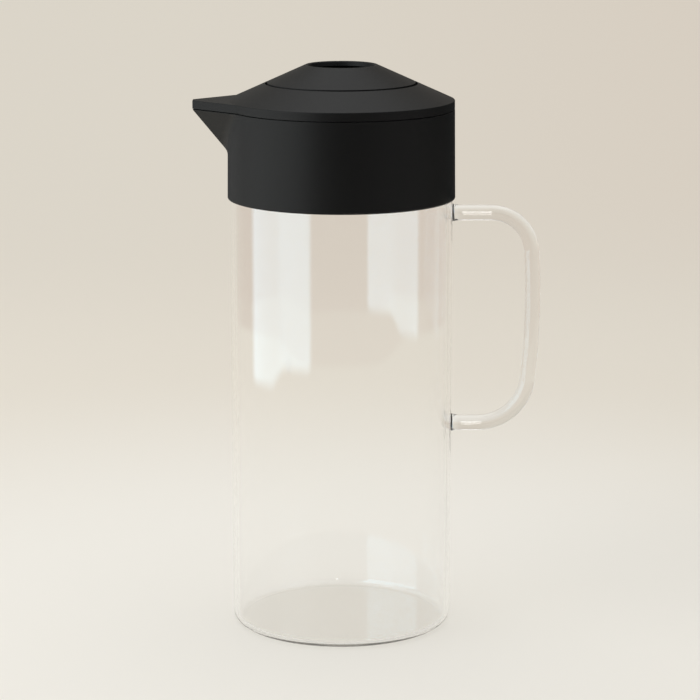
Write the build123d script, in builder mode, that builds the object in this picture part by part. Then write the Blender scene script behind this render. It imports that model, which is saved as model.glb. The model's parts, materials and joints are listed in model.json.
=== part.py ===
"""Serving jug: glass body with a fused rod handle, and a lid whose cap turns to open the beak.

Millimetres, +Z up, the origin at the centre of the base. The beak points along -X and the handle
along +X. The lid is drawn closed: the cap's pointed cover lies over the beak.
"""

from build123d import *
from math import asin, cos, degrees, hypot, radians, sin, sqrt, tan
import os

# Glass body
glass_diameter = 100.0
glass_height = 211.0
glass_wall = 2.2
glass_floor = 2.2
heel_round = 5.2
heel_round_inside = 3.0
rim_round = 1.0

# Glass handle, sizes on the rod's centre line
rod_diameter = 7.0
handle_reach = 36.6
handle_drop = 6.8
handle_height = 97.0
top_bend = 18.5
bottom_bend = 22.5
bow_radius = 350.0
bow_above_bottom = 57.3
weld_flare = 0.6
weld_length = 4.0

# Collar
skirt_clearance = 0.25
skirt_wall = 0.9
skirt_overlap = 14.5
collar_rise = 25.55
collar_draft = 0.57
collar_wall = 1.85
deck_gap = 0.3
deck_thickness = 2.0
foot_round = 0.7
edge_break = 0.2
select_gap = 0.1

# Sleeve that hangs from the deck into the mouth of the glass
sleeve_gap = 1.3
sleeve_wall = 1.8
sleeve_depth = 12.8

# Lip seal round the sleeve
seal_height = 5.6
seal_above_sleeve_end = 3.2
seal_groove_depth = 1.0
seal_run_gap = 0.1
seal_end_gap = 0.2
seal_body = 1.0
lip_start = 0.2
lip_clearance = 0.2
lip_count = 2
lip_root = 1.5
lip_tip = 0.4

# Beak on the collar
beak_reach = 15.7
beak_tip_width = 4.8
beak_root_width = 1.6
beak_half_angle = 42.8
beak_drop = 19.05
beak_wall = 2.0
beak_corner_round = 0.7
beak_blend = 8.0
beak_back = 24.0

# Cap
cap_inset = 0.05
cap_seam = 0.35
cap_edge_height = 3.68
cap_edge_round = 0.35
cover_plate_round = 0.3
cap_wall = 2.2
cone_angle = 24.37
drum_seat_height = 1.55
well_wall = 2.0
well_depth = 6.7

# Gate drum that turns with the cap inside the collar
drum_clearance = 0.4
drum_wall = 1.6
drum_cap_gap = 0.2
foot_gap = 0.3
foot_height = 4.2
foot_wall = 2.6
window_angle = 40.0
window_above_foot = 1.2
window_below_top = 3.6
window_round = 2.0
slot_count = 9
slot_width = 2.2
slot_pitch = 4.4
bead_height = 1.0
bead_proud = 0.6
bead_below_top = 1.8
bead_gap = 0.25

# Centre plug: conical cover with the finger hole, and the cup under it
cover_radius = 33.2
cover_gap = 0.8
cover_edge = 3.0
cover_wall = 2.2
cover_seat_gap = 0.3
finger_hole_radius = 15.2
finger_hole_round = 0.9
finger_hole_taper = 18.0
ledge_width = 3.5
cup_gap = 1.0
cup_wall = 2.0
cup_floor = 2.0
cup_reach = 2.0
cup_cover_gap = 0.1
cup_joint_rise = 1.5
cup_joint_land = 0.5

# O-rings
drum_ring_section = 1.4
plug_ring_section = 1.9
ring_clearance = 0.07
ring_groove_slack = 0.2
ring_seat_gap = 0.05

# Radii that follow
glass_radius = glass_diameter / 2
mouth_radius = glass_radius - glass_wall
skirt_radius = glass_radius + skirt_clearance
collar_foot_radius = skirt_radius + skirt_wall

# Heights that follow
collar_foot_z = glass_height - skirt_overlap
collar_top_z = glass_height + collar_rise
deck_under_z = glass_height + deck_gap
deck_top_z = deck_under_z + deck_thickness
cap_foot_z = collar_top_z + cap_seam
cap_edge_z = cap_foot_z + cap_edge_height

draft_slope = tan(radians(collar_draft))
collar_top_radius = collar_foot_radius - (collar_top_z - collar_foot_z) * draft_slope
bore_radius = collar_top_radius - collar_wall
sleeve_radius = mouth_radius - sleeve_gap
cap_radius = collar_top_radius - cap_inset

cone_slope = tan(radians(cone_angle))
cap_wall_upright = cap_wall / cos(radians(cone_angle))
cover_wall_upright = cover_wall / cos(radians(cone_angle))
opening_radius = cover_radius + cover_gap
well_radius = opening_radius - ledge_width
cup_radius = well_radius - cup_gap
drum_radius = bore_radius - drum_clearance
drum_inner_radius = drum_radius - drum_wall
drum_foot_z = deck_top_z + foot_gap
drum_top_z = cap_foot_z + drum_seat_height


def cone_z(radius):
    """Height of the lid's outer cone at a radius."""
    return cap_edge_z + (cap_radius - radius) * cone_slope


cover_foot_z = cone_z(cover_radius) - cover_edge
ledge_z = cover_foot_z - cover_seat_gap
well_foot_z = ledge_z - well_depth
cup_top_z = cover_foot_z + cup_joint_rise
cup_floor_z = well_foot_z - cup_reach

os.makedirs("parts", exist_ok=True)

# Glass body: straight tube with a flat floor, a rounded heel and a fire-polished rim
with BuildPart() as glass_body:
    with BuildSketch(Plane.XZ) as tube_profile:
        with BuildLine():
            Polyline(
                (0, 0),
                (glass_radius, 0),
                (glass_radius, glass_height),
                (mouth_radius, glass_height),
                (mouth_radius, glass_floor),
                (0, glass_floor),
                close=True,
            )
        make_face()
        rim = tube_profile.vertices().group_by(Axis.Y)[-1]
        fillet(rim, min(rim_round, glass_wall / 2 - select_gap))
        inner_heel = tube_profile.vertices().group_by(Axis.Y)[1].sort_by(Axis.X)[-1]
        fillet(inner_heel, heel_round_inside)
        outer_heel = tube_profile.vertices().group_by(Axis.Y)[0].sort_by(Axis.X)[-1]
        fillet(outer_heel, heel_round)
    revolve(axis=Axis.Z)

glass_body.part.label = "glass_body"
export_step(glass_body.part, "parts/glass_body.step")

# Glass handle: one bent rod in the XZ plane, flared where each end is fused to the body
rod_radius = rod_diameter / 2
handle_top_z = collar_foot_z - handle_drop
handle_bottom_z = handle_top_z - handle_height
bow_centre_x = glass_radius + handle_reach - bow_radius
bow_centre_z = handle_bottom_z + bow_above_bottom
top_rise = handle_top_z - top_bend - bow_centre_z
bottom_fall = bow_centre_z - handle_bottom_z - bottom_bend
top_lean = degrees(asin(top_rise / (bow_radius - top_bend)))
bottom_lean = degrees(asin(bottom_fall / (bow_radius - bottom_bend)))
top_straight_x = bow_centre_x + sqrt((bow_radius - top_bend) ** 2 - top_rise**2)
rod_start_x = glass_radius - rod_radius
weld_end_x = glass_radius + weld_length

with BuildPart() as glass_handle:
    with BuildLine(Plane.XZ) as rod_path:
        top_run = Line((rod_start_x, handle_top_z), (top_straight_x, handle_top_z))
        top_corner = JernArc(top_run @ 1, top_run % 1, top_bend, top_lean - 90)
        grip = JernArc(top_corner @ 1, top_corner % 1, bow_radius, -top_lean - bottom_lean)
        low_corner = JernArc(grip @ 1, grip % 1, bottom_bend, bottom_lean - 90)
        Line(low_corner @ 1, (rod_start_x, handle_bottom_z))
    with BuildSketch(Plane(origin=rod_path.line @ 0, z_dir=rod_path.line % 0)):
        Circle(rod_radius)
    sweep()
    for weld_z in (handle_top_z, handle_bottom_z):
        with BuildSketch(Plane.XZ):
            with BuildLine():
                Line((rod_start_x, weld_z), (weld_end_x, weld_z))
                Line((weld_end_x, weld_z), (weld_end_x, weld_z + rod_radius))
                flare = TangentArc(
                    (weld_end_x, weld_z + rod_radius),
                    (glass_radius, weld_z + rod_radius + weld_flare),
                    tangent=(-1, 0),
                )
                weld_root = Line(flare @ 1, (rod_start_x, weld_z + rod_radius + weld_flare))
                Line(weld_root @ 1, (rod_start_x, weld_z))
            make_face()
        revolve(axis=Axis((0, 0, weld_z), (1, 0, 0)))
    Cylinder(
        glass_radius,
        glass_height,
        align=(Align.CENTER, Align.CENTER, Align.MIN),
        mode=Mode.SUBTRACT,
    )

glass_handle.part.label = "glass_handle"
export_step(glass_handle.part, "parts/glass_handle.step")

# Beak: a wedge with flat sides, its plan drawn in as it comes down to the root of the keel
beak_tip_x = collar_top_radius + beak_reach
beak_root_z = collar_top_z - beak_drop
beak_root_x = collar_foot_radius - (beak_root_z - collar_foot_z) * draft_slope
keel_slope = (beak_tip_x - beak_root_x) / beak_drop
side_slope = tan(radians(beak_half_angle))
wedge_foot_z = beak_root_z - collar_wall / 2 / keel_slope
channel_foot_z = beak_root_z - collar_wall / 4


def beak_plan(height, wall=0.0):
    """Corners of the beak's plan at a height, or of the channel that leaves this wall."""
    keel_shift = wall * sqrt(1 + keel_slope**2)
    share = (height - beak_root_z) / beak_drop
    half_tip = (beak_root_width + (beak_tip_width - beak_root_width) * share) / 2
    half_tip += keel_shift * side_slope - wall / cos(radians(beak_half_angle))
    tip_x = beak_root_x + (height - beak_root_z) * keel_slope - keel_shift
    back_x = tip_x - beak_back
    half_back = half_tip + beak_back * side_slope
    return [(-tip_x, -half_tip), (-tip_x, half_tip), (-back_x, half_back), (-back_x, -half_back)]


with BuildPart() as beak_wedge:
    for height in (wedge_foot_z, collar_top_z):
        with BuildSketch(Plane.XY.offset(height)):
            with BuildLine():
                Polyline(*beak_plan(height), close=True)
            make_face()
    loft(ruled=True)
    side_edges = beak_wedge.edges().filter_by(Plane.XY, reverse=True)
    fillet(side_edges.sort_by(Axis.X)[:2], beak_corner_round)

with BuildPart() as beak_channel:
    for height in (channel_foot_z, collar_top_z + beak_wall):
        with BuildSketch(Plane.XY.offset(height)):
            with BuildLine():
                Polyline(*beak_plan(height, beak_wall), close=True)
            make_face()
    loft(ruled=True)

# Collar: drafted skirt over the glass, deck above the rim, sleeve into the mouth, beak at -X
sleeve_foot_z = deck_under_z - sleeve_depth
seal_groove_z = sleeve_foot_z + seal_above_sleeve_end
seal_groove_top_z = seal_groove_z + seal_height + 2 * seal_end_gap
seal_groove_radius = sleeve_radius - seal_groove_depth
sleeve_inner_radius = sleeve_radius - sleeve_wall
bead_z = collar_top_z - bead_below_top
bead_radius = drum_radius + bead_proud
bead_groove_radius = bead_radius + bead_gap


def collar_radius(height):
    """Outer radius of the drafted collar at a height."""
    return collar_foot_radius - (height - collar_foot_z) * draft_slope


def on_collar_face(edge):
    """True for an edge where the beak meets the collar's outer face."""
    middle = edge.center()
    between = collar_foot_z + select_gap < middle.Z < collar_top_z - select_gap
    off_face = [abs(hypot(v.X, v.Y) - collar_radius(v.Z)) for v in edge.vertices()]
    return between and middle.X < 0 and max(off_face) < select_gap


def is_outermost(edge):
    """True for an edge of the top face's outer outline."""
    middle = edge.position_at(0.5)
    return hypot(middle.X, middle.Y) > collar_top_radius - select_gap


with BuildPart() as lid_collar:
    with Locations((0, 0, collar_foot_z)):
        Cone(
            collar_foot_radius,
            collar_top_radius,
            collar_top_z - collar_foot_z,
            align=(Align.CENTER, Align.CENTER, Align.MIN),
        )
    add(beak_wedge.part)
    fillet(lid_collar.edges().filter_by(on_collar_face), beak_blend)
    with BuildSketch(Plane.XZ):
        with BuildLine():
            Polyline(
                (0, collar_foot_z),
                (skirt_radius, collar_foot_z),
                (skirt_radius, deck_under_z),
                (sleeve_radius, deck_under_z),
                (sleeve_radius, seal_groove_top_z),
                (seal_groove_radius, seal_groove_top_z),
                (seal_groove_radius, seal_groove_z),
                (sleeve_radius, seal_groove_z),
                (sleeve_radius, sleeve_foot_z),
                (sleeve_inner_radius, sleeve_foot_z),
                (sleeve_inner_radius, deck_top_z),
                (bore_radius, deck_top_z),
                (bore_radius, bead_z - bead_height / 2 - bead_gap),
                (bead_groove_radius, bead_z - bead_height / 4 - bead_gap),
                (bead_groove_radius, bead_z + bead_height / 4 + bead_gap),
                (bore_radius, bead_z + bead_height / 2 + bead_gap),
                (bore_radius, collar_top_z),
                (0, collar_top_z),
                close=True,
            )
        make_face()
    revolve(axis=Axis.Z, mode=Mode.SUBTRACT)
    add(beak_channel.part, mode=Mode.SUBTRACT)
    foot_edges = lid_collar.edges().group_by(Axis.Z)[0].sort_by(SortBy.LENGTH)
    fillet(foot_edges[-1], foot_round)
    top_edges = lid_collar.edges().group_by(Axis.Z)[-1]
    fillet(top_edges.filter_by(is_outermost), edge_break)

lid_collar.part.label = "lid_collar"
export_step(lid_collar.part, "parts/lid_collar.step")

# Lip seal: silicone ring in the sleeve's groove, its lips leaning up against the glass
seal_foot_z = seal_groove_z + seal_end_gap
seal_inner_radius = seal_groove_radius + seal_run_gap
seal_body_radius = seal_inner_radius + seal_body
lip_radius = mouth_radius - lip_clearance
lip_space = seal_height / lip_count

with BuildPart() as lid_seal:
    with BuildSketch(Plane.XZ):
        with BuildLine():
            Polyline(
                (seal_inner_radius, seal_foot_z),
                (seal_body_radius, seal_foot_z),
                (seal_body_radius, seal_foot_z + seal_height),
                (seal_inner_radius, seal_foot_z + seal_height),
                close=True,
            )
        make_face()
        for lip in range(lip_count):
            lip_z = seal_foot_z + lip * lip_space + lip_start
            with BuildLine():
                Polyline(
                    (seal_body_radius - seal_body / 2, lip_z),
                    (seal_body_radius, lip_z),
                    (lip_radius, lip_z + lip_root - lip_tip),
                    (lip_radius, lip_z + lip_root),
                    (seal_body_radius, lip_z + lip_root),
                    (seal_body_radius - seal_body / 2, lip_z + lip_root),
                    close=True,
                )
            make_face()
    revolve(axis=Axis.Z)

lid_seal.part.label = "lid_seal"
export_step(lid_seal.part, "parts/lid_seal.step")

# Gate drum: wall that shuts the beak, with a plain window at +Y and a strainer at -Y
drum_foot_radius = drum_radius - foot_wall
drum_foot_top_z = drum_foot_z + foot_height
drum_ring_z = drum_foot_z + foot_height / 2
drum_groove_half = (drum_ring_section + ring_groove_slack) / 2
drum_ring_radius = bore_radius - ring_clearance - drum_ring_section / 2
drum_groove_radius = drum_ring_radius - drum_ring_section / 2 - ring_seat_gap
window_sill_z = drum_foot_top_z + window_above_foot
window_top_z = collar_top_z - window_below_top
window_height = window_top_z - window_sill_z
window_mid_z = (window_top_z + window_sill_z) / 2
window_width = 2 * drum_radius * sin(radians(window_angle / 2))
slot_span = slot_pitch * (slot_count - 1)

with BuildPart() as gate_drum:
    with BuildSketch(Plane.XZ):
        with BuildLine():
            Polyline(
                (drum_foot_radius, drum_foot_z),
                (drum_radius, drum_foot_z),
                (drum_radius, drum_ring_z - drum_groove_half),
                (drum_groove_radius, drum_ring_z - drum_groove_half),
                (drum_groove_radius, drum_ring_z + drum_groove_half),
                (drum_radius, drum_ring_z + drum_groove_half),
                (drum_radius, bead_z - bead_height / 2),
                (bead_radius, bead_z - bead_height / 4),
                (bead_radius, bead_z + bead_height / 4),
                (drum_radius, bead_z + bead_height / 2),
                (drum_radius, drum_top_z),
                (drum_inner_radius, drum_top_z),
                (drum_inner_radius, drum_foot_top_z + foot_wall - drum_wall),
                (drum_foot_radius, drum_foot_top_z),
                close=True,
            )
        make_face()
    revolve(axis=Axis.Z)
    with BuildSketch(Plane.XZ.offset(-drum_radius - drum_wall)):
        with Locations((0, window_mid_z)):
            RectangleRounded(window_width, window_height, window_round)
    extrude(amount=drum_radius / 2, mode=Mode.SUBTRACT)
    with Locations((0, 0, window_mid_z)):
        with PolarLocations(
            drum_radius,
            slot_count,
            start_angle=-90 - slot_span / 2,
            angular_range=slot_span,
            endpoint=True,
        ):
            Box(4 * drum_wall, slot_width, window_height, mode=Mode.SUBTRACT)

gate_drum.part.label = "gate_drum"
export_step(gate_drum.part, "parts/gate_drum.step")

# O-ring between the drum's foot and the collar
with BuildPart() as drum_ring:
    with Locations((0, 0, drum_ring_z)):
        Torus(drum_ring_radius, drum_ring_section / 2)

drum_ring.part.label = "drum_ring"
export_step(drum_ring.part, "parts/drum_ring.step")

# Cap: conical ring with an upright band, the pointed cover over the beak, and the plug's well
band_inner_radius = drum_radius + drum_cap_gap
seat_inner_radius = drum_inner_radius - drum_cap_gap
well_outer_radius = well_radius + well_wall
shoulder_radius = opening_radius + cap_wall
shoulder_z = ledge_z - cap_wall

with BuildPart() as cover_plate:
    with BuildSketch(Plane.XY.offset(cap_foot_z)) as cover_plan:
        with BuildLine():
            Polyline(*beak_plan(collar_top_z), close=True)
        make_face()
        fillet(cover_plan.vertices().sort_by(Axis.X)[:2], beak_corner_round)
    extrude(amount=cap_edge_height)
    outline = cover_plate.edges().group_by(Axis.Z)[-1].sort_by(Axis.X)
    fillet(outline[:-1], cover_plate_round)
    with Locations((0, 0, cap_foot_z)):
        Cylinder(
            band_inner_radius,
            cap_edge_height,
            align=(Align.CENTER, Align.CENTER, Align.MIN),
            mode=Mode.SUBTRACT,
        )

with BuildPart() as lid_cap:
    with BuildSketch(Plane.XZ) as cap_profile:
        with BuildLine():
            Polyline(
                (cap_radius, cap_foot_z),
                (cap_radius, cap_edge_z),
                (opening_radius, cone_z(opening_radius)),
                (opening_radius, ledge_z),
                (well_radius, ledge_z),
                (well_radius, well_foot_z),
                (well_outer_radius, well_foot_z),
                (well_outer_radius, shoulder_z),
                (shoulder_radius, shoulder_z),
                (shoulder_radius, cone_z(shoulder_radius) - cap_wall_upright),
                (seat_inner_radius, cone_z(seat_inner_radius) - cap_wall_upright),
                (seat_inner_radius, drum_top_z),
                (band_inner_radius, drum_top_z),
                (band_inner_radius, cap_foot_z),
                close=True,
            )
        make_face()
        edge_corner = (cap_radius, cap_edge_z)
        fillet(cap_profile.vertices().sort_by_distance(edge_corner)[0], cap_edge_round)
        opening_corner = (opening_radius, cone_z(opening_radius))
        fillet(cap_profile.vertices().sort_by_distance(opening_corner)[0], edge_break)
    revolve(axis=Axis.Z)
    add(cover_plate.part)

lid_cap.part.label = "lid_cap"
export_step(lid_cap.part, "parts/lid_cap.step")

# Plug cover: inner cone flush with the cap, with the finger hole at its top
finger_hole_foot_radius = finger_hole_radius - cover_wall_upright * tan(radians(finger_hole_taper))
cup_outer_joint = cup_radius + cup_cover_gap
cup_inner_radius = cup_radius - cup_wall
joint_inner_radius = cup_inner_radius - cup_joint_land

with BuildPart() as plug_cover:
    with BuildSketch(Plane.XZ) as cover_profile:
        with BuildLine():
            Polyline(
                (finger_hole_radius, cone_z(finger_hole_radius)),
                (cover_radius, cone_z(cover_radius)),
                (cover_radius, cover_foot_z),
                (cup_outer_joint, cover_foot_z),
                (cup_outer_joint, cup_top_z),
                (joint_inner_radius, cup_top_z),
                (joint_inner_radius, cone_z(joint_inner_radius) - cover_wall_upright),
                (finger_hole_foot_radius, cone_z(finger_hole_radius) - cover_wall_upright),
                close=True,
            )
        make_face()
        fillet(cover_profile.vertices().sort_by(Axis.Y)[-1], finger_hole_round)
        cover_corner = (cover_radius, cone_z(cover_radius))
        fillet(cover_profile.vertices().sort_by_distance(cover_corner)[0], edge_break)
    revolve(axis=Axis.Z)

plug_cover.part.label = "plug_cover"
export_step(plug_cover.part, "parts/plug_cover.step")

# Plug cup: closed cup under the cover, its outside grooved for the O-ring
plug_ring_z = well_foot_z + well_depth / 2
plug_ring_radius = well_radius - ring_clearance - plug_ring_section / 2
plug_groove_half = (plug_ring_section + ring_groove_slack) / 2
plug_groove_radius = plug_ring_radius - plug_ring_section / 2 - ring_seat_gap

with BuildPart() as plug_cup:
    with BuildSketch(Plane.XZ):
        with BuildLine():
            Polyline(
                (0, cup_floor_z),
                (cup_radius, cup_floor_z),
                (cup_radius, plug_ring_z - plug_groove_half),
                (plug_groove_radius, plug_ring_z - plug_groove_half),
                (plug_groove_radius, plug_ring_z + plug_groove_half),
                (cup_radius, plug_ring_z + plug_groove_half),
                (cup_radius, cup_top_z),
                (cup_inner_radius, cup_top_z),
                (cup_inner_radius, cup_floor_z + cup_floor),
                (0, cup_floor_z + cup_floor),
                close=True,
            )
        make_face()
    revolve(axis=Axis.Z)

plug_cup.part.label = "plug_cup"
export_step(plug_cup.part, "parts/plug_cup.step")

# O-ring between the plug cup and the cap's well
with BuildPart() as plug_ring:
    with Locations((0, 0, plug_ring_z)):
        Torus(plug_ring_radius, plug_ring_section / 2)

plug_ring.part.label = "plug_ring"
export_step(plug_ring.part, "parts/plug_ring.step")
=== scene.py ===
"""Serving jug: clear glass body with a fused rod handle, and a satin black lid with a beak.

Metres, +Z up, the origin at the centre of the base. The beak points along -X and the handle along +X.
"""

import json
import math

import bmesh
import bpy
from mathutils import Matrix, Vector


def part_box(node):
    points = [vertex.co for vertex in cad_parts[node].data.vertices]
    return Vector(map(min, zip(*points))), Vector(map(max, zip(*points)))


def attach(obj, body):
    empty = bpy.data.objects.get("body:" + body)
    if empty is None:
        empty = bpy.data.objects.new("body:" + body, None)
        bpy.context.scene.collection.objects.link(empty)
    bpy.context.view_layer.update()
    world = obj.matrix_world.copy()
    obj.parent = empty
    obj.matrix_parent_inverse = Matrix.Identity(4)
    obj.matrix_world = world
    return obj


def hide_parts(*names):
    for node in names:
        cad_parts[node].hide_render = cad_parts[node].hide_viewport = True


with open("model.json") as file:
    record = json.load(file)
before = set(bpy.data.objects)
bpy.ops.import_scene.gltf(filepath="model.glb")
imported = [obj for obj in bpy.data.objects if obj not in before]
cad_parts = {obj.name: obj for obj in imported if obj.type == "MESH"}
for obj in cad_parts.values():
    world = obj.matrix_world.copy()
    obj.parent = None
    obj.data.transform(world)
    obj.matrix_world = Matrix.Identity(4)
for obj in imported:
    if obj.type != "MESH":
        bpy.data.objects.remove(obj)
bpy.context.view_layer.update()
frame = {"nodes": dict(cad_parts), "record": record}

MM = 0.001
QUARTER_TURN = math.pi / 2

# Pieces turned about the vertical axis; points nearer than the gap become one
RING_SEGMENTS = 288
ROUND_STEPS = 14
MERGE_GAP = 0.01 * MM

# Glass body, its outer sizes taken from the frame
body_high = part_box("glass_body")[1]
GLASS_RADIUS = body_high.x
GLASS_HEIGHT = body_high.z
GLASS_WALL = 2.2 * MM
GLASS_FLOOR = 2.2 * MM
HEEL_ROUND = 5.2 * MM
HEEL_ROUND_INSIDE = 3.0 * MM
RIM_ROUND = 1.05 * MM
WALL_RING_PITCH = 3 * MM

# Glass handle, its reach and height taken from the frame
handle_low, handle_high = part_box("glass_handle")
ROD_RADIUS = 3.5 * MM
ROD_SIDES = 64
ROD_STEP = 0.9 * MM
TOP_BEND = 18.5 * MM
BOTTOM_BEND = 22.5 * MM
BOW_RADIUS = 350 * MM
BOW_ABOVE_BOTTOM = 57.3 * MM
WELD_FLARE = 0.6 * MM
WELD_LENGTH = 4.0 * MM
WELD_REACH_IN = 1.2 * MM

# Clear glass: the deeper tone of the solid rod, the tube's draw lines and the ripples round the welds
GLASS_COLOUR = (0.998, 0.998, 0.996, 1)
GLASS_ROD_COLOUR = (0.945, 0.94, 0.93, 1)
GLASS_SHADOW_COLOUR = (0.975, 0.972, 0.965, 1)
GLASS_INDEX = 1.47
GLASS_RELIEF = 0.2 * MM
DRAW_LINE_SCALE = 90
DRAW_LINE_STRETCH = (1, 1, 0.06)
DRAW_LINE_SHARE = 0.008
WELD_RIPPLE_SCALE = 380
WELD_RIPPLE_REACH = (4.0 * MM, 15.0 * MM)

# Satin black plastic of the lid, with a fine grain and a faint cloudiness
PLASTIC_COLOURS = ((0.0041, 0.0044, 0.0046, 1), (0.0053, 0.0056, 0.0058, 1))
PLASTIC_SPECULAR = 0.22
PLASTIC_ROUGHNESS = 0.44
PLASTIC_CLOUD_ROUGHNESS = 0.06
PLASTIC_CLOUD_SCALE = 38
PLASTIC_GRAIN_SCALE = 2600
PLASTIC_GRAIN_STRENGTH = 0.22
PLASTIC_GRAIN_HEIGHT = 0.12 * MM

# Silicone of the seal and the rings
SILICONE_COLOURS = ((0.13, 0.13, 0.128, 1), (0.19, 0.19, 0.187, 1))
SILICONE_ROUGHNESS = 0.6
SILICONE_DUST_ROUGHNESS = 0.15
SILICONE_DUST_SCALE = 420
SILICONE_GRAIN_SCALE = 3000
SILICONE_GRAIN_STRENGTH = 0.15
SILICONE_GRAIN_HEIGHT = 0.1 * MM

# Camera, fitted to the circles of the base, the seams and the finger hole
PHOTO_SIZE = 700
CAMERA_PLACE = (0, -1.22463, 0.38246)
CAMERA_PITCH = 11.82
CAMERA_TURN = -0.19
CAMERA_LENS = 141.44
CAMERA_CLIP = (0.05, 20)
HALF_PIXEL = 0.5 / PHOTO_SIZE

# How often light may turn inside the thick glass of the heel
LIGHT_BOUNCES = 40

# Floor that runs up into the backdrop
SWEEP_REACH = 2.6
SWEEP_BEND = 1.6
SWEEP_HEIGHT = 3.4
SWEEP_PITCH = 0.5
FLOOR_DROP = 0.1 * MM

# Paper of the sweep, with painted shade: darker away from the jug, and darker and warmer towards the
# right, where lamplight would fall off. A pair says where a change begins and where it is full: in
# metres from the jug, for the deepening painted shade and for the evening out, and in metres to the
# right, for the painted shade at the right
FLOOR_COLOUR = (0.85, 0.824, 0.762, 1)
# Painted shade: the wall and far tones are darker than the floor, and the far right is darker and
# warmer, as if lamplight fell off there
WALL_SHADED_COLOUR = (0.785, 0.737, 0.65, 1)
FAR_SHADED_COLOUR = (0.728, 0.682, 0.598, 1)
FAR_RIGHT_SHADED_COLOUR = (0.70, 0.637, 0.552, 1)
PAPER_SHADE_DEEPENS = (0.15, 0.56)
PAPER_EVENS = (0.6, 1.3)
PAPER_EVENNESS = (0.5, 0.9)
RIGHT_SHADE_RAMP = (-0.25, 0.45)

# Edge of the paper, past which reflections see the room: nearest on the camera's side, and none behind
# the jug. PAPER_SIDE and BEHIND are directions: -1 is the camera's side, 0 beside the jug, 1 behind it
PAPER_EDGE = (0.63, 0.67)
PAPER_SIDE = (-0.85, -0.3)
PAPER_SIDE_REACH = 0.08
BEHIND = (0.35, 0.85)

# Room round the paper: brown at its foot, dark above, grey at the right and, for the satin lid, pale at
# the left. ROOM_DARKENS and SATIN_BACKDROP are heights. ROOM_RIGHT and ROOM_LEFT are directions, where 1
# is straight to that side. Past ROOM_RIGHT_ENDS, a direction as above, the satin lid sees no grey
ROOM_LOW_COLOUR = (0.44, 0.27, 0.22, 1)
ROOM_HIGH_COLOUR = (0.05, 0.055, 0.06, 1)
ROOM_RIGHT_COLOUR = (0.44, 0.445, 0.455, 1)
ROOM_LEFT_COLOUR = (0.58, 0.585, 0.58, 1)
ROOM_DARKENS = (0.05, 0.6)
ROOM_RIGHT = (0.2, 0.75)
ROOM_RIGHT_ENDS = (-0.3, 0.4)
ROOM_LEFT = (0.35, 0.8)
SATIN_BACKDROP = (0.25, 0.6)
SATIN_BACKDROP_SHARE = 0.45

# Window at the left that reflections see: a band round the jug, its foot stepping up towards the camera.
# Bearings are in degrees from the camera's side, left negative
WINDOW_COLOUR = (0.55, 0.82, 1.0, 1)
WINDOW_SATIN_COLOUR = (0.45, 0.475, 0.475, 1)
WINDOW_STRENGTH = 3.0
WINDOW_FAR_SHARE = 0.8
WINDOW_BEARINGS = (-103, -28)
WINDOW_PARTS = 78
WINDOW_REACH = 0.42
WINDOW_TOP = 1.2
WINDOW_FEET = (0.028, 0.0405)
WINDOW_STEP = (-76, -58)
WINDOW_CORNER_BEARING = 7
WINDOW_CORNER_RISE = 0.009

# Small softbox near the camera that streaks the level runs of the rod
SOFTBOX_COLOUR = (0.98, 0.99, 1.0, 1)
SOFTBOX_SATIN_COLOUR = (0.03, 0.03, 0.03, 1)
SOFTBOX_STRENGTH = 5.2
SOFTBOX_REFLECTIONS = 1
SOFTBOX_BEARING = 5.6
SOFTBOX_REACH = 1.2
SOFTBOX_FOOT = 0.3
SOFTBOX_SIZE = (0.065, 0.42)

# Soft edges of the window and the softbox, and where their weaker far half ends, as shares of their size
SOFT_SIDE = 0.075
SOFT_FOOT = 0.009
FAR_HALF = (0.42, 0.6)

# Sky, and lamps that face a point inside the jug
LAMPS_FACE = (0, 0, 0.1)
WINDOW_LAMP_BEARING = -65
WINDOW_LAMP_REACH = 1.6
WINDOW_LAMP_HEIGHT = 1.05
WINDOW_LAMP_SIZE = (1.45, 1.75)
WINDOW_LAMP_POWER = 34
WINDOW_LAMP_COLOUR = (0.99, 1, 1)
OVERHEAD_LAMP_PLACE = (0.1, 0.4, 1.7)
OVERHEAD_LAMP_SIZE = (1.6, 1.6)
OVERHEAD_LAMP_POWER = 7
OVERHEAD_LAMP_COLOUR = (1, 1, 0.99)
SKY_COLOUR = (0.98, 0.99, 1.0, 1)
SKY_STRENGTH = 0.8


class Socket:
    """A node's output whose operators add Math nodes to its tree."""

    def __init__(self, tree, value):
        self.tree = tree
        self.value = value

    def __add__(self, other):
        return self.tree.math("ADD", self, other)

    def __sub__(self, other):
        return self.tree.math("SUBTRACT", self, other)

    def __mul__(self, other):
        return self.tree.math("MULTIPLY", self, other)

    def __truediv__(self, other):
        return self.tree.math("DIVIDE", self, other)

    def __rsub__(self, other):
        return self.tree.math("SUBTRACT", other, self)

    def __neg__(self):
        return self.tree.math("MULTIPLY", self, -1)

    __radd__ = __add__
    __rmul__ = __mul__


class Tree:
    """A node tree under construction, with one method that adds any node."""

    def __init__(self, tree):
        self.tree = tree
        self.tree.nodes.clear()

    def add(self, kind, settings=None, values=None, out=0):
        """Adds a node, sets it, fills its inputs with numbers or links, and wraps one output.

        The setting choices is how many items an Index Switch has. A list as a value links several nodes
        to the same input.
        """
        node = self.tree.nodes.new(kind)
        for key, setting in (settings or {}).items():
            if key == "choices":
                for _ in range(setting - len(node.index_switch_items)):
                    node.index_switch_items.new()
            else:
                setattr(node, key, setting)
        entries = values.items() if isinstance(values, dict) else enumerate(values or [])
        for key, value in entries:
            for source in value if isinstance(value, list) else [value]:
                if isinstance(source, Socket):
                    self.tree.links.new(source.value, node.inputs[key])
                else:
                    node.inputs[key].default_value = source
        return Socket(self, node.outputs[out])

    def math(self, operation, *values):
        """A Math node on sockets and numbers."""
        return self.add("ShaderNodeMath", dict(operation=operation), list(values))


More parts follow.
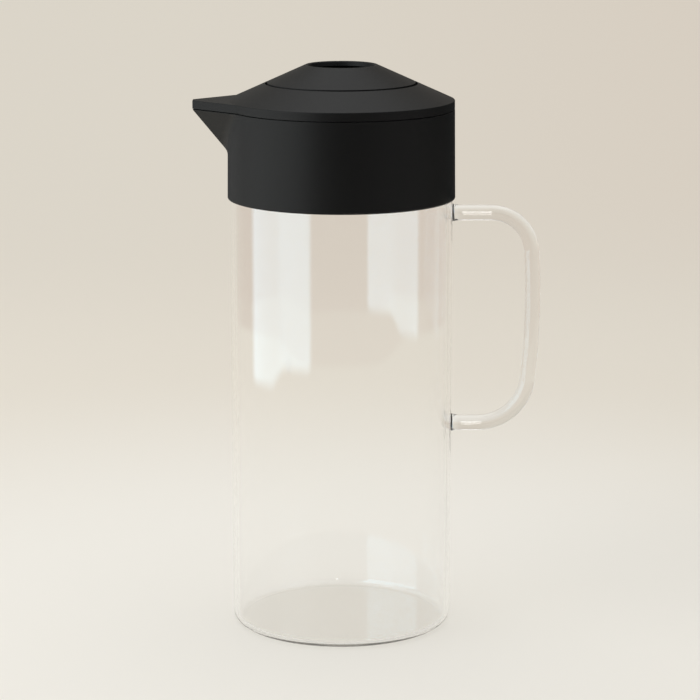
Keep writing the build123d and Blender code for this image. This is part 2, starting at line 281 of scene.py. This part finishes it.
class Finish(Tree):
    """A material under construction."""

    def __init__(self, name):
        self.material = bpy.data.materials.new(name)
        self.material.use_nodes = True
        super().__init__(self.material.node_tree)

    def place(self, scale=(1, 1, 1)):
        """Object coordinates, scaled by a Mapping node."""
        where = self.add("ShaderNodeTexCoord", out="Object")
        return self.add("ShaderNodeMapping", values=dict(Vector=where, Scale=scale))

    def axes(self, where, names="XYZ"):
        """The numbers of a place, one for each of these axes."""
        return (self.add("ShaderNodeSeparateXYZ", values=[where], out=name) for name in names)

    def ray(self, kind):
        """1 for light of this kind on its way to the eye, 0 for all other light."""
        return self.add("ShaderNodeLightPath", out=f"Is {kind} Ray")

    def noise(self, where, scale, detail=2.0, roughness=0.5):
        """A noise value that varies over the piece, from 0 to 1."""
        values = dict(Vector=where, Scale=scale, Detail=detail, Roughness=roughness)
        return self.add("ShaderNodeTexNoise", values=values, out="Fac")

    def ramp(self, value, low, high):
        """A value eased from 0 at low to 1 at high."""
        settings = dict(interpolation_type="SMOOTHSTEP")
        values = {"Value": value, "From Min": low, "From Max": high}
        return self.add("ShaderNodeMapRange", settings, values)

    def nearness(self, where, centres, near, far):
        """1 within a distance of any of the centres, easing to 0 at a larger distance."""
        shares = []
        for centre in centres:
            ends = [where, centre]
            away = self.add("ShaderNodeVectorMath", dict(operation="DISTANCE"), ends, out="Value")
            shares.append(1 - self.ramp(away, near, far))
        return self.math("MAXIMUM", *shares)

    def mirrored(self, most=math.inf):
        """1 for light that is reflected on its way to the eye, but at most so many times, else 0."""
        times = self.add("ShaderNodeLightPath", out="Glossy Depth")
        once = self.math("MINIMUM", times, 1.0)
        return once if most == math.inf else once * self.math("LESS_THAN", times, most + 0.5)

    def satin(self):
        """1 for light that a satin surface reflects, 0 for all other light, a polished one's too."""
        return self.ray("Glossy") * (1 - self.ray("Singular"))

    def blend(self, share, first, second):
        """One colour turned into another by a share from 0 to 1."""
        settings = dict(data_type="RGBA", blend_type="MIX")
        return self.add("ShaderNodeMix", settings, {0: share, 6: first, 7: second}, out=2)

    def finish(self, shader):
        """Sends a shader to the output and gives the material."""
        output = self.tree.nodes.new("ShaderNodeOutputMaterial")
        self.tree.links.new(shader.value, output.inputs["Surface"])
        return self.material


class Form(Tree):
    """A Geometry Nodes tree for one piece, whose named inputs are the piece's sizes."""

    def __init__(self, name):
        self.name = name
        self.sizes = {}
        super().__init__(bpy.data.node_groups.new(name, "GeometryNodeTree"))
        self.source = self.tree.nodes.new("NodeGroupInput")

    def size(self, name, value, kind="Float"):
        """A named input of the tree, and the value that this piece gives it."""
        item = self.tree.interface.new_socket(name, in_out="INPUT", socket_type="NodeSocket" + kind)
        self.sizes[item.identifier] = value
        return Socket(self, self.source.outputs[name])

    def choose(self, values):
        """One of these numbers for each point of a curve, by the point's place in it."""
        numbers = {str(i): value for i, value in enumerate(values)}
        numbers["Index"] = self.add("GeometryNodeInputIndex")
        settings = dict(data_type="FLOAT", choices=len(values))
        return self.add("GeometryNodeIndexSwitch", settings, numbers)

    def divide(self, curve, pitch):
        """Divides a curve's long runs, so that no piece is much longer than the pitch."""
        here = self.add("GeometryNodeInputPosition")
        after = self.add("GeometryNodeInputIndex") + 1
        there = self.add("GeometryNodeFieldAtIndex", dict(data_type="FLOAT_VECTOR"), [here, after])
        ends = [here, there]
        run = self.add("ShaderNodeVectorMath", dict(operation="DISTANCE"), ends, out="Value")
        return self.add("GeometryNodeSubdivideCurve", values=[curve, run / pitch - 0.5])

    def make(self, shape, material):
        """Runs the tree and gives the piece as a smooth plain mesh, its faces pointing outwards."""
        whole = self.add("GeometryNodeRealizeInstances", values=[shape])
        finish = self.size("Finish", material, "Material")
        done = self.add("GeometryNodeSetMaterial", values=dict(Geometry=whole, Material=finish))
        self.tree.interface.new_socket("Mesh", in_out="OUTPUT", socket_type="NodeSocketGeometry")
        self.tree.links.new(done.value, self.tree.nodes.new("NodeGroupOutput").inputs[0])
        piece = bpy.data.objects.new(self.name, bpy.data.meshes.new(self.name))
        bpy.context.scene.collection.objects.link(piece)
        modifier = piece.modifiers.new(self.name, "NODES")
        modifier.node_group = self.tree
        for identifier, value in self.sizes.items():
            modifier[identifier] = value
        take_result(piece, modifier)
        shell = bmesh.new()
        shell.from_mesh(piece.data)
        bmesh.ops.recalc_face_normals(shell, faces=shell.faces)
        shell.to_mesh(piece.data)
        shell.free()
        piece.data.shade_smooth()
        return piece


def take_result(piece, modifier):
    """Turns what a modifier makes of a piece into its plain mesh, and removes the modifier."""
    graph = bpy.context.evaluated_depsgraph_get()
    mesh = bpy.data.meshes.new_from_object(piece.evaluated_get(graph))
    piece.modifiers.remove(modifier)
    piece.data = mesh


def rod_heights():
    """Heights of the rod's centre line where it meets the body: at the top and at the bottom."""
    return handle_high.z - ROD_RADIUS - WELD_FLARE, handle_low.z + ROD_RADIUS + WELD_FLARE


def clear_glass():
    """Polished borosilicate glass: faint draw lines along the tube, and lamps shine through it."""
    f = Finish("polished_glass")
    where = f.place()
    (x,) = f.axes(where, "X")
    rod = f.ramp(x, GLASS_RADIUS + WELD_FLARE, GLASS_RADIUS + WELD_LENGTH)
    drawn = f.noise(f.place(scale=DRAW_LINE_STRETCH), DRAW_LINE_SCALE, detail=1.0)
    welds = [(GLASS_RADIUS, 0, z) for z in rod_heights()]
    near = f.nearness(where, welds, *WELD_RIPPLE_REACH)
    rippled = f.noise(where, WELD_RIPPLE_SCALE, detail=1.0)
    height = drawn * DRAW_LINE_SHARE + near * (1 - rod) * rippled
    relief = dict(Strength=1.0, Distance=GLASS_RELIEF, Height=height)
    glass = f.add("ShaderNodeBsdfPrincipled", values={
        "Base Color": f.blend(rod, GLASS_COLOUR, GLASS_ROD_COLOUR),
        "Roughness": 0.0,
        "IOR": GLASS_INDEX,
        "Transmission Weight": 1.0,
        "Normal": f.add("ShaderNodeBump", values=relief),
    })
    through = f.add("ShaderNodeBsdfTransparent", values=dict(Color=GLASS_SHADOW_COLOUR))
    return f.finish(f.add("ShaderNodeMixShader", values={0: f.ray("Shadow"), 1: glass, 2: through}))


def satin_black():
    """Moulded black plastic with a fine spark-eroded grain and a soft sheen."""
    f = Finish("satin_black_plastic")
    where = f.place()
    grain = f.noise(where, PLASTIC_GRAIN_SCALE, detail=3.0, roughness=0.6)
    cloud = f.noise(where, PLASTIC_CLOUD_SCALE, detail=3.0)
    relief = dict(Strength=PLASTIC_GRAIN_STRENGTH, Distance=PLASTIC_GRAIN_HEIGHT, Height=grain)
    return f.finish(f.add("ShaderNodeBsdfPrincipled", values={
        "Base Color": f.blend(cloud, *PLASTIC_COLOURS),
        "Roughness": cloud * PLASTIC_CLOUD_ROUGHNESS + PLASTIC_ROUGHNESS,
        "Specular IOR Level": PLASTIC_SPECULAR,
        "Normal": f.add("ShaderNodeBump", values=relief),
    }))


def matt_silicone():
    """Grey silicone of the seal and the rings, with a dusty matt surface."""
    f = Finish("matt_silicone")
    where = f.place()
    dust = f.noise(where, SILICONE_DUST_SCALE, detail=4.0, roughness=0.65)
    grain = f.noise(where, SILICONE_GRAIN_SCALE, detail=2.0)
    relief = dict(Strength=SILICONE_GRAIN_STRENGTH, Distance=SILICONE_GRAIN_HEIGHT, Height=grain)
    return f.finish(f.add("ShaderNodeBsdfPrincipled", values={
        "Base Color": f.blend(dust, *SILICONE_COLOURS),
        "Roughness": dust * SILICONE_DUST_ROUGHNESS + SILICONE_ROUGHNESS,
        "Normal": f.add("ShaderNodeBump", values=relief),
    }))


def studio_paper():
    """Warm pale paper, with painted shade: a little deeper away from the jug, and darker and warmer
    towards the right.

    Reflections and bounced light see a dim room past its edge. The camera sees only paper, and so does
    light that comes straight through the glass.
    """
    f = Finish("studio_paper")
    x, y, z = f.axes(f.add("ShaderNodeTexCoord", out="Object"))
    away = f.math("SQRT", x * x + y * y)
    to_right = x / away
    to_back = y / away
    satin = f.satin()

    # Painted shade: the paper darkens away from the jug, and darkens and warms towards the right
    far = f.ramp(away, *PAPER_EVENS)
    far_painted_shade = f.blend(f.ramp(x, *RIGHT_SHADE_RAMP), FAR_SHADED_COLOUR, FAR_RIGHT_SHADED_COLOUR)
    deep_painted_shade = f.blend(far, WALL_SHADED_COLOUR, far_painted_shade)
    paper = f.blend(f.ramp(away, *PAPER_SHADE_DEEPENS), FLOOR_COLOUR, deep_painted_shade)

    shown_to_satin = satin * (1 - f.ramp(z, *SATIN_BACKDROP) * SATIN_BACKDROP_SHARE)
    right = f.ramp(to_right, *ROOM_RIGHT) * (1 - f.ramp(to_back, *ROOM_RIGHT_ENDS) * satin)
    left = f.ramp(-to_right, *ROOM_LEFT) * shown_to_satin
    above = f.math("MAXIMUM", f.ramp(z, *ROOM_DARKENS), satin)
    room = f.blend(right, ROOM_HIGH_COLOUR, ROOM_RIGHT_COLOUR)
    room = f.blend(left, room, ROOM_LEFT_COLOUR)
    room = f.blend(above, ROOM_LOW_COLOUR, room)

    edge = away - f.ramp(to_back, *PAPER_SIDE) * PAPER_SIDE_REACH
    backdrop = f.ramp(to_back, *BEHIND) * (1 - shown_to_satin)
    past_edge = f.ramp(edge, *PAPER_EDGE) * (1 - backdrop)
    camera, through, mirror = (f.ray(kind) for kind in ("Camera", "Transmission", "Glossy"))
    straight = f.math("MAXIMUM", camera, through * (1 - f.mirrored()))
    colour = f.blend(past_edge * (1 - straight), paper, room)

    near_evenness, far_evenness = PAPER_EVENNESS
    evenness = far * (far_evenness - near_evenness) + near_evenness
    seen = f.math("MAXIMUM", f.math("MAXIMUM", camera, through), mirror)
    lit = f.add("ShaderNodeBsdfDiffuse", values=dict(Color=colour))
    even = f.add("ShaderNodeEmission", values=dict(Color=colour, Strength=1.0))
    return f.finish(f.add("ShaderNodeMixShader", values={0: seen * evenness, 1: lit, 2: even}))


def soft_daylight(name, colour, satin_colour, full, far_share=1.0, most=math.inf):
    """Light with soft edges that only reflections see.

    Its far half may be weaker, and the satin lid sees a tone of its own. Light that is reflected more
    often than most says sees none of it.
    """
    f = Finish(name)
    across, up = f.axes(f.add("ShaderNodeTexCoord", out="UV"), "XY")
    sides = f.ramp(0.5 - f.math("ABSOLUTE", across - 0.5), 0.0, SOFT_SIDE)
    foot = f.ramp(up, 0.0, SOFT_FOOT)
    share = f.ramp(across, *FAR_HALF) * (1 - far_share) + far_share
    strength = sides * foot * share * f.mirrored(most) * full
    tone = f.blend(f.satin(), colour, satin_colour)
    daylight = f.add("ShaderNodeEmission", values=dict(Color=tone, Strength=strength))
    clear = f.add("ShaderNodeBsdfTransparent")
    material = f.finish(f.add("ShaderNodeAddShader", values=[daylight, clear]))
    material.cycles.emission_sampling = "NONE"
    return material


def turned(name, sizes, section, material):
    """A piece turned about the vertical axis.

    Each corner that section gives has its distance from the axis, its height and its rounding.
    """
    form = Form(name)
    given = {key: form.size(key.replace("_", " "), value) for key, value in sizes.items()}
    steps = form.size("round steps", ROUND_STEPS, "Int")
    segments = form.size("segments", RING_SEGMENTS, "Int")
    corners = section(**given)
    line = form.add("GeometryNodeCurvePrimitiveLine")
    values = dict(Curve=line, Count=len(corners))
    line = form.add("GeometryNodeResampleCurve", dict(mode="COUNT"), values)
    across, up, rounds = (form.choose(values) for values in zip(*corners))
    place = form.add("ShaderNodeCombineXYZ", values=[across - given["radius"], -up, 0])
    line = form.add("GeometryNodeSetPosition", values=dict(Geometry=line, Position=place))
    values = dict(Curve=line, Count=steps, Radius=rounds)
    line = form.add("GeometryNodeFilletCurve", dict(mode="POLY"), values)
    line = form.divide(line, given["pitch"])
    values = dict(Resolution=segments, Radius=given["radius"])
    ring = form.add("GeometryNodeCurvePrimitiveCircle", values=values)
    shell = form.add("GeometryNodeCurveToMesh", values={"Curve": ring, "Profile Curve": line})
    values = dict(Geometry=shell, Distance=MERGE_GAP)
    return form.make(form.add("GeometryNodeMergeByDistance", values=values), material)


def body_section(radius, height, wall, floor, heel, inner_heel, rim, pitch):
    """Corners of the glass body's half section, from under its middle round to the inside floor."""
    inner = radius - wall
    return [
        (0, 0, 0),
        (radius, 0, heel),
        (radius, height, rim),
        (inner, height, rim),
        (inner, floor, inner_heel),
        (0, floor, 0),
    ]


def glass_tube(material):
    """The glass body: a straight tube with a flat floor, a round heel and a fire-polished rim."""
    sizes = dict(
        radius=GLASS_RADIUS,
        height=GLASS_HEIGHT,
        wall=GLASS_WALL,
        floor=GLASS_FLOOR,
        heel=HEEL_ROUND,
        inner_heel=HEEL_ROUND_INSIDE,
        rim=RIM_ROUND,
        pitch=WALL_RING_PITCH,
    )
    return turned("jug_glass", sizes, body_section, material)


def straight_run(form, start_x, end_x, z):
    """A level run of the rod's path."""
    ends = [form.add("ShaderNodeCombineXYZ", values=[x, 0, z]) for x in (start_x, end_x)]
    return form.add("GeometryNodeCurvePrimitiveLine", values=ends)


def bend(form, x, z, radius, start, sweep, step):
    """An arc of the rod's path about a centre, its angles in radians."""
    arc = form.add("GeometryNodeCurveArc", values={
        "Resolution": radius * form.math("ABSOLUTE", sweep) / step + 2,
        "Radius": radius,
        "Start Angle": start,
        "Sweep Angle": sweep,
    })
    centre = form.add("ShaderNodeCombineXYZ", values=[x, 0, z])
    stood_up = dict(Geometry=arc, Translation=centre, Rotation=(QUARTER_TURN, 0, 0))
    return form.add("GeometryNodeTransform", values=stood_up)


def handle_rod(material):
    """The handle: one bent rod, its ends flared and reaching into the wall of the body."""
    form = Form("handle_rod")
    wall = form.size("body radius", GLASS_RADIUS)
    rod = form.size("rod radius", ROD_RADIUS)
    ends = zip(("top", "bottom"), rod_heights())
    top, bottom = (form.size(end + " height", z) for end, z in ends)
    reach = form.size("reach", handle_high.x - ROD_RADIUS)
    top_bend = form.size("top bend", TOP_BEND)
    bottom_bend = form.size("bottom bend", BOTTOM_BEND)
    bow = form.size("bow radius", BOW_RADIUS)
    bow_z = bottom + form.size("bow above bottom", BOW_ABOVE_BOTTOM)
    step = form.size("step", ROD_STEP)
    sides = form.size("sides", ROD_SIDES, "Int")
    start_x = wall - form.size("reach into the wall", WELD_REACH_IN)

    bow_x = reach - bow
    top_lean = form.math("ARCSINE", (top - top_bend - bow_z) / (bow - top_bend))
    bottom_lean = form.math("ARCSINE", (bow_z - bottom - bottom_bend) / (bow - bottom_bend))
    top_x = bow_x + (bow - top_bend) * form.math("COSINE", top_lean)
    bottom_x = bow_x + (bow - bottom_bend) * form.math("COSINE", bottom_lean)
    top_sweep = top_lean - QUARTER_TURN
    bottom_sweep = bottom_lean - QUARTER_TURN
    bottom_z = bottom + bottom_bend
    path = form.add("GeometryNodeJoinGeometry", values=[[
        straight_run(form, start_x, top_x, top),
        bend(form, top_x, top - top_bend, top_bend, QUARTER_TURN, top_sweep, step),
        bend(form, bow_x, bow_z, bow, top_lean, -top_lean - bottom_lean, step),
        bend(form, bottom_x, bottom_z, bottom_bend, -bottom_lean, bottom_sweep, step),
        straight_run(form, bottom_x, start_x, bottom),
    ]])
    path = form.add("GeometryNodeCurveToMesh", values=[path])
    values = dict(Geometry=path, Distance=MERGE_GAP)
    path = form.add("GeometryNodeMergeByDistance", values=values)
    path = form.divide(form.add("GeometryNodeMeshToCurve", values=[path]), step)

    x = form.add("ShaderNodeSeparateXYZ", values=[form.add("GeometryNodeInputPosition")])
    away = form.math("MAXIMUM", x - wall, 0) / form.size("flare length", WELD_LENGTH)
    near = 1 - form.math("MINIMUM", away, 1)
    radius = rod + form.size("flare", WELD_FLARE) * near * near
    values = dict(Resolution=sides, Radius=1.0)
    circle = form.add("GeometryNodeCurvePrimitiveCircle", values=values)
    values = {"Curve": path, "Profile Curve": circle, "Scale": radius, "Fill Caps": True}
    return form.make(form.add("GeometryNodeCurveToMesh", values=values), material)


def make_glass():
    """The whole glass: body and handle in one fused piece, as they are on the real jug."""
    material = clear_glass()
    glass = glass_tube(material)
    rod = handle_rod(material)
    union = glass.modifiers.new("fuse", "BOOLEAN")
    union.operation = "UNION"
    union.solver = "EXACT"
    union.object = rod
    take_result(glass, union)
    bpy.data.objects.remove(rod)
    glass.data.shade_smooth()
    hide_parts("glass_body", "glass_handle")
    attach(glass, "jug")


def finish_lid():
    """Gives the lid's own nodes their plastic and silicone."""
    finishes = dict(black_plastic=satin_black(), silicone=matt_silicone())
    slots = {part["node"]: part["material_slot"] for part in frame["record"]["subparts"]}
    for name, node in frame["nodes"].items():
        if slots[name] in finishes:
            for slot in node.material_slots:
                slot.material = finishes[slots[name]]


def sweep_section(radius, bend, height, drop, pitch):
    """Corners of the studio sweep: flat under the jug, then a wide bend up into a wall."""
    return [(0, -drop, 0), (radius, -drop, bend), (radius, height, 0)]


def make_backdrop():
    """Round studio sweep: a flat floor whose edge curves up into a wall on every side."""
    sizes = dict(
        radius=SWEEP_REACH,
        bend=SWEEP_BEND,
        height=SWEEP_HEIGHT,
        drop=FLOOR_DROP,
        pitch=SWEEP_PITCH,
    )
    turned("studio_sweep", sizes, sweep_section, studio_paper())


def add_light(name, place, size, power, colour, **seen):
    """A rectangular area lamp that faces the jug."""
    lamp = bpy.data.lights.new(name, "AREA")
    lamp.shape = "RECTANGLE"
    lamp.size, lamp.size_y = size
    lamp.energy = power
    lamp.color = colour
    made = bpy.data.objects.new(name, lamp)
    bpy.context.scene.collection.objects.link(made)
    made.location = place
    facing = Vector(LAMPS_FACE) - Vector(place)
    made.rotation_euler = facing.to_track_quat("-Z", "Y").to_euler()
    made.visible_camera = False
    for ray, shown in seen.items():
        setattr(made, "visible_" + ray, shown)


def bearing_point(bearing, reach, height):
    """A point at a bearing from the camera's side, in degrees, left negative."""
    turn = math.radians(bearing)
    return Vector((math.sin(turn) * reach, -math.cos(turn) * reach, height))


def hang_strip(name, columns, material):
    """A strip that only reflections see: each column gives its foot and its top, from left to right."""
    shape = bmesh.new()
    layer = shape.loops.layers.uv.new("strip")
    ends = [[shape.verts.new(point) for point in column] for column in columns]
    parts = len(ends) - 1
    for i, (before, after) in enumerate(zip(ends, ends[1:])):
        face = shape.faces.new([before[0], after[0], after[1], before[1]])
        first, second = i / parts, (i + 1) / parts
        corners = (first, 0), (second, 0), (second, 1), (first, 1)
        for loop, corner in zip(face.loops, corners):
            loop[layer].uv = corner
    mesh = bpy.data.meshes.new(name)
    shape.to_mesh(mesh)
    shape.free()
    mesh.materials.append(material)
    strip = bpy.data.objects.new(name, mesh)
    bpy.context.scene.collection.objects.link(strip)
    strip.visible_camera = strip.visible_diffuse = strip.visible_shadow = False


def window_foot(bearing):
    """Height of the window's foot at a bearing: a smooth step up, and a rounded corner at each end."""
    low, high = WINDOW_FEET
    step_start, step_end = WINDOW_STEP
    first, last = WINDOW_BEARINGS
    share = min(max((bearing - step_start) / (step_end - step_start), 0), 1)
    step = (high - low) * share * share * (3 - 2 * share)
    corner = max(1 - min(bearing - first, last - bearing) / WINDOW_CORNER_BEARING, 0)
    return low + step + WINDOW_CORNER_RISE * (1 - math.sqrt(1 - corner * corner))


def hang_window():
    """The window's band round the jug."""
    first, last = WINDOW_BEARINGS
    bearings = [first + (last - first) * i / WINDOW_PARTS for i in range(WINDOW_PARTS + 1)]
    columns = [
        [bearing_point(bearing, WINDOW_REACH, height) for height in (window_foot(bearing), WINDOW_TOP)]
        for bearing in bearings
    ]
    light = soft_daylight(
        "daylight", WINDOW_COLOUR, WINDOW_SATIN_COLOUR, WINDOW_STRENGTH, far_share=WINDOW_FAR_SHARE
    )
    hang_strip("window", columns, light)


def hang_softbox():
    """The small softbox near the camera."""
    width, height = SOFTBOX_SIZE
    middle = bearing_point(SOFTBOX_BEARING, SOFTBOX_REACH, SOFTBOX_FOOT)
    side = Vector((width / 2, 0, 0))
    up = Vector((0, 0, height))
    columns = [[foot, foot + up] for foot in (middle - side, middle + side)]
    light = soft_daylight(
        "softbox_light", SOFTBOX_COLOUR, SOFTBOX_SATIN_COLOUR, SOFTBOX_STRENGTH, most=SOFTBOX_REFLECTIONS
    )
    hang_strip("softbox", columns, light)


def light_studio():
    """A broad lamp at the left and one overhead, an even pale sky, and what shows in the gloss."""
    add_light(
        "window_light",
        bearing_point(WINDOW_LAMP_BEARING, WINDOW_LAMP_REACH, WINDOW_LAMP_HEIGHT),
        WINDOW_LAMP_SIZE,
        WINDOW_LAMP_POWER,
        WINDOW_LAMP_COLOUR,
        transmission=False,
        glossy=False,
    )
    add_light(
        "overhead_light",
        OVERHEAD_LAMP_PLACE,
        OVERHEAD_LAMP_SIZE,
        OVERHEAD_LAMP_POWER,
        OVERHEAD_LAMP_COLOUR,
        transmission=False,
    )
    hang_window()
    hang_softbox()
    world = bpy.data.worlds.new("studio")
    world.use_nodes = True
    sky = world.node_tree.nodes["Background"]
    sky.inputs["Color"].default_value = SKY_COLOUR
    sky.inputs["Strength"].default_value = SKY_STRENGTH
    bpy.context.scene.world = world


def place_camera():
    """The camera, at the photograph's viewing angle."""
    lens = bpy.data.cameras.new("camera")
    lens.lens = CAMERA_LENS
    lens.clip_start, lens.clip_end = CAMERA_CLIP
    lens.shift_x, lens.shift_y = -HALF_PIXEL, HALF_PIXEL
    camera = bpy.data.objects.new("camera", lens)
    camera.location = CAMERA_PLACE
    tilt = QUARTER_TURN - math.radians(CAMERA_PITCH)
    camera.rotation_euler = (tilt, 0, math.radians(CAMERA_TURN))
    bpy.context.scene.collection.objects.link(camera)
    bpy.context.scene.camera = camera


bpy.context.scene.view_settings.view_transform = "Standard"
for kind in ("max", "glossy", "transmission"):
    setattr(bpy.context.scene.cycles, kind + "_bounces", LIGHT_BOUNCES)
make_glass()
finish_lid()
make_backdrop()
light_studio()
place_camera()
